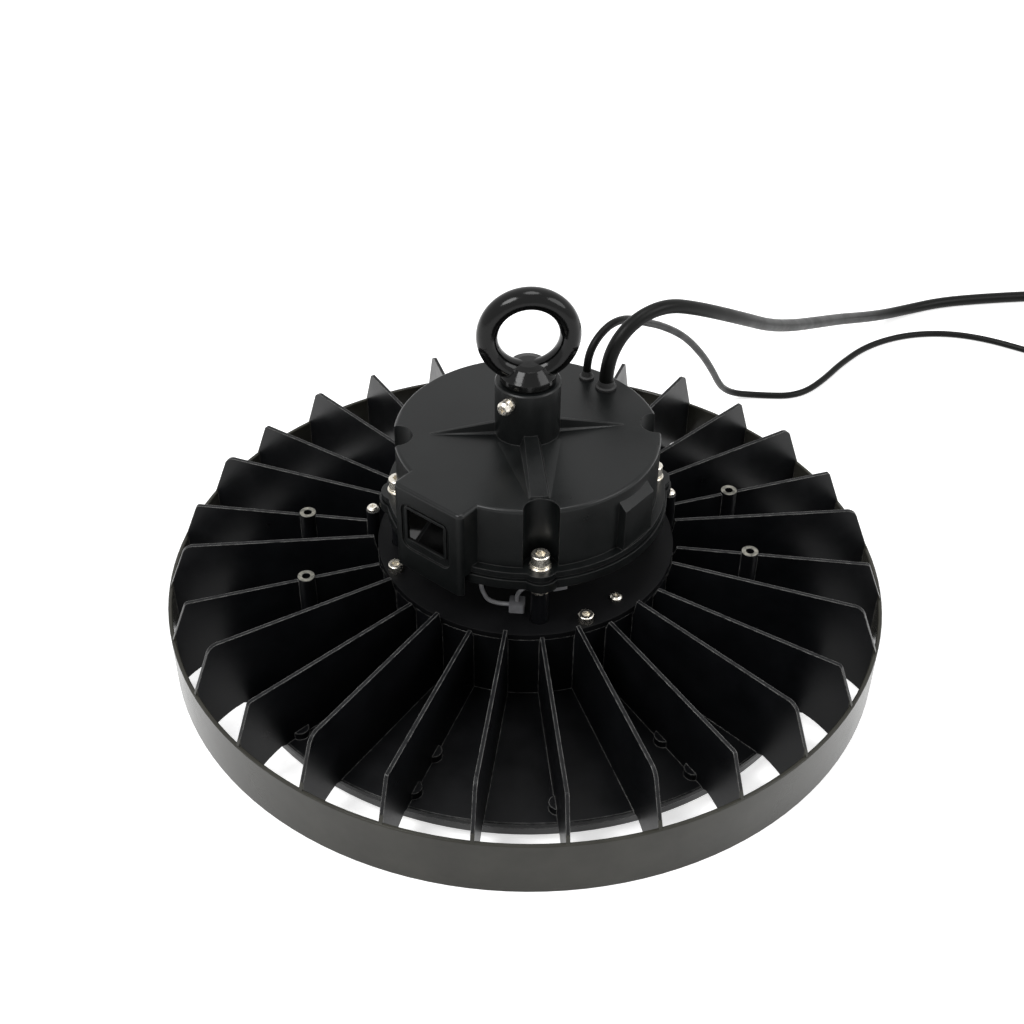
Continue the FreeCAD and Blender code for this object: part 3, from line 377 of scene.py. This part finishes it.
def clearMaterial(name, tint, rough):
    mat, nodes, links = newMaterial(name)
    shader = nodes["Principled BSDF"]
    setInputs(shader, {"Base Color": tint, "Roughness": rough, "Transmission Weight": 1.0})
    shader.inputs["IOR"].default_value = plasticRipple["ior"]
    ripple = objectNoise(nodes, links, plasticRipple["scale"], 2.0)
    relief = bump(nodes, links, ripple.outputs["Fac"], plasticRipple["strength"], plasticRipple["depth"])
    links.new(relief.outputs["Normal"], shader.inputs["Normal"])
    return mat


for name, (tint, rough, nodeNames) in clearSet.items():
    dress(nodeNames, clearMaterial(name, tint, rough))
print("small pieces dressed")


# leads
sheathFinish = {
    "dark": (0.002, 0.0022, 0.002, 1.0),
    "light": (0.004, 0.0043, 0.0038, 1.0),
    "roughLow": 0.33,
    "roughHigh": 0.45,
    "patchScale": 120.0,
    "grainScale": 2200.0,
    "grain": 0.2,
    "grainDepth": 0.00005,
    "ior": 1.23,
}


def leadMaterial():
    mat, nodes, links = newMaterial("leadSheath")
    shader = nodes["Principled BSDF"]
    shader.inputs["IOR"].default_value = sheathFinish["ior"]
    patches = objectNoise(nodes, links, sheathFinish["patchScale"], 4.0)
    dark, light = sheathFinish["dark"], sheathFinish["light"]
    tint = ramp(nodes, links, patches.outputs["Fac"], [(0.3, dark), (0.7, light)])
    links.new(tint.outputs["Color"], shader.inputs["Base Color"])
    low, high = grey(sheathFinish["roughLow"]), grey(sheathFinish["roughHigh"])
    gloss = ramp(nodes, links, patches.outputs["Fac"], [(0.3, low), (0.7, high)])
    links.new(gloss.outputs["Color"], shader.inputs["Roughness"])
    grain = objectNoise(nodes, links, sheathFinish["grainScale"], 2.0)
    strength, depth = sheathFinish["grain"], sheathFinish["grainDepth"]
    relief = bump(nodes, links, grain.outputs["Fac"], strength, depth)
    links.new(relief.outputs["Normal"], shader.inputs["Normal"])
    return mat


leadMat = leadMaterial()

mainsLead = {  # sizes in millimetres, the length in metres
    "diameter": 7.0,
    "turns": 2,
    "pitch": 7.1,
    "tuck": 4.0,  # from the coil's outer edge to the middle of its first turn
    "spare": 28.0,  # inner radius of the coil
    "length": 1.015,
    "stiffness": "medium",
    "slot": "cable_black",
    "replaces": ["mains_lead", "mains_lead_coil"],
    "ends": ["mains_live_core", "mains_neutral_core", "mains_earth_core", "mains_core_tips"],
    "route": [
        (41.4, 31.9, 117.0), (41.4, 31.9, 123.2), (44.2, 33.4, 134.0), (51.2, 37.3, 142.6),
        (61.6, 43.2, 146.8), (73.6, 49.7, 146.3), (86.5, 56.8, 140.3), (102.5, 68.0, 130.0),
        (121.5, 85.5, 115.0), (142.5, 111.0, 95.0), (167.0, 144.0, 74.0), (194.0, 180.0, 53.5),
        (220.0, 213.5, 34.5), (243.5, 240.5, 18.5), (265.0, 260.0, 8.0), (286.5, 272.5, 3.7),
        (310.0, 279.5, 3.7), (337.5, 282.0, 3.7), (370.0, 282.8, 3.7), (396.0, 282.5, 3.7),
        (421.0, 281.3, 3.7)],
}
dimmingLead = {
    "diameter": 4.0,
    "turns": 3,
    "pitch": 4.1,
    "tuck": 2.5,
    "spare": 13.9,
    "length": 0.92,
    "stiffness": "limp",
    "slot": "cable_black",
    "replaces": ["dimming_lead", "dimming_lead_coil"],
    "ends": ["dimming_plus_core", "dimming_minus_core", "dimming_core_tips"],
    "route": [
        (33.3, 41.0, 117.0), (33.3, 41.0, 122.0), (35.0, 42.6, 128.0), (38.8, 45.7, 133.0),
        (44.3, 50.4, 136.0), (50.8, 56.3, 135.5), (57.5, 64.5, 130.8), (66.5, 76.5, 121.5),
        (80.0, 93.5, 108.5), (97.5, 114.5, 88.5), (113.5, 135.5, 63.0), (125.0, 153.0, 40.5),
        (133.0, 166.0, 23.0), (139.5, 175.0, 12.0), (148.0, 180.5, 4.8), (159.5, 182.0, 2.2),
        (171.0, 180.0, 2.2), (182.0, 179.0, 2.2), (194.0, 183.0, 2.2), (208.0, 195.0, 2.2),
        (225.0, 213.5, 2.2), (247.0, 232.0, 2.2), (275.0, 243.0, 2.2), (303.0, 243.0, 2.2),
        (327.0, 233.5, 2.2), (349.0, 217.0, 2.2), (366.5, 204.9, 2.2), (383.5, 191.8, 2.2)],
}
turnPoints = 16  # route points in each turn of a coil


def coilPoints(lead):
    # the spare length winds clockwise and inwards from the route's last point
    end, before = Vector(lead["route"][-1]), Vector(lead["route"][-2])
    along = (end - before).normalized()
    inward = Vector((along.y, -along.x, 0.0))
    firstRadius = lead["spare"] + lead["pitch"] * (lead["turns"] + 1) - lead["tuck"]
    centre = end + inward * firstRadius
    swell = 8 / (6 + 2 * math.cos(2 * math.pi / turnPoints))  # the smooth line runs inside its points
    points = []
    for step in range(1, lead["turns"] * turnPoints + 1):
        turned = 2 * math.pi * step / turnPoints
        radius = firstRadius - lead["pitch"] * step / turnPoints
        if step < lead["turns"] * turnPoints:
            radius *= swell
        points.append(centre - inward * radius * math.cos(turned) + along * radius * math.sin(turned))
    return points


def makeLead(name, lead):
    points = [Vector(p) for p in lead["route"]] + coilPoints(lead)
    data = bpy.data.curves.new(name, "CURVE")
    data.dimensions = "3D"
    spline = data.splines.new("NURBS")
    spline.points.add(len(points) - 1)
    for knot, place in zip(spline.points, points):
        knot.co = (*(place / 1000), 1.0)
    spline.order_u = 3
    spline.use_endpoint_u = True
    data.resolution_u = 8
    data.bevel_depth = lead["diameter"] / 2000
    data.bevel_resolution = 6
    data.use_fill_caps = True
    data.materials.append(leadMat)
    obj = bpy.data.objects.new(name, data)
    scene.collection.objects.link(obj)
    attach(obj, "root")
    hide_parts(*lead["replaces"])


makeLead("mainsLead", mainsLead)
makeLead("dimmingLead", dimmingLead)
print("leads laid")

# floor, backdrop and light
stageSet = {"floor": 6.0, "floorColour": 0.80, "floorLift": 0.66, "roomLight": 0.35}
lampSet = {
    # place, target, size, watts
    "key": ((-0.9, -0.6, 1.6), (0.0, 0.0, 0.05), 0.9, 22.0),
    "fill": ((1.3, -0.5, 1.1), (0.0, 0.0, 0.05), 1.0, 10.0),
    "top": ((0.25, 0.30, 1.9), (0.0, 0.0, 0.08), 0.8, 9.0),
}


def makeFloor():
    shape = bmesh.new()
    bmesh.ops.create_grid(shape, x_segments=1, y_segments=1, size=stageSet["floor"])
    data = bpy.data.meshes.new("floor")
    shape.to_mesh(data)
    shape.free()
    obj = bpy.data.objects.new("floor", data)
    scene.collection.objects.link(obj)
    mat, nodes, links = newMaterial("paleFloor")
    out = nodes["Material Output"]
    nodes.remove(nodes["Principled BSDF"])
    matt = nodes.new("ShaderNodeBsdfDiffuse")
    matt.inputs["Color"].default_value = grey(stageSet["floorColour"])
    glow = nodes.new("ShaderNodeEmission")
    both = nodes.new("ShaderNodeAddShader")
    lift = nodes.new("ShaderNodeMath")
    lift.operation = "MULTIPLY"
    lift.inputs[1].default_value = stageSet["floorLift"]
    links.new(backgroundRays(nodes, links), lift.inputs[0])
    links.new(lift.outputs["Value"], glow.inputs["Strength"])
    links.new(matt.outputs["BSDF"], both.inputs[0])
    links.new(glow.outputs["Emission"], both.inputs[1])
    links.new(both.outputs["Shader"], out.inputs["Surface"])
    data.materials.append(mat)


def makeWorld():
    world = bpy.data.worlds.new("studio")
    scene.world = world
    world.use_nodes = True
    nodes, links = world.node_tree.nodes, world.node_tree.links
    nodes.clear()
    out = nodes.new("ShaderNodeOutputWorld")
    room = nodes.new("ShaderNodeBackground")
    setInputs(room, {"Color": grey(1.0), "Strength": stageSet["roomLight"]})
    white = nodes.new("ShaderNodeBackground")
    setInputs(white, {"Color": grey(1.0), "Strength": 1.0})
    mix = nodes.new("ShaderNodeMixShader")
    links.new(backgroundRays(nodes, links), mix.inputs[0])
    links.new(room.outputs["Background"], mix.inputs[1])
    links.new(white.outputs["Background"], mix.inputs[2])
    links.new(mix.outputs["Shader"], out.inputs["Surface"])


def makeLamp(name, place, target, size, watts):
    data = bpy.data.lights.new(name, "AREA")
    data.shape = "DISK"
    data.size = size
    data.energy = watts
    lamp = bpy.data.objects.new(name, data)
    scene.collection.objects.link(lamp)
    lamp.location = place
    lamp.rotation_mode = "QUATERNION"
    lamp.rotation_quaternion = (Vector(target) - Vector(place)).to_track_quat("-Z", "Y")


makeFloor()
makeWorld()
for name, (place, target, size, watts) in lampSet.items():
    makeLamp(name, place, target, size, watts)
print("stage lit")
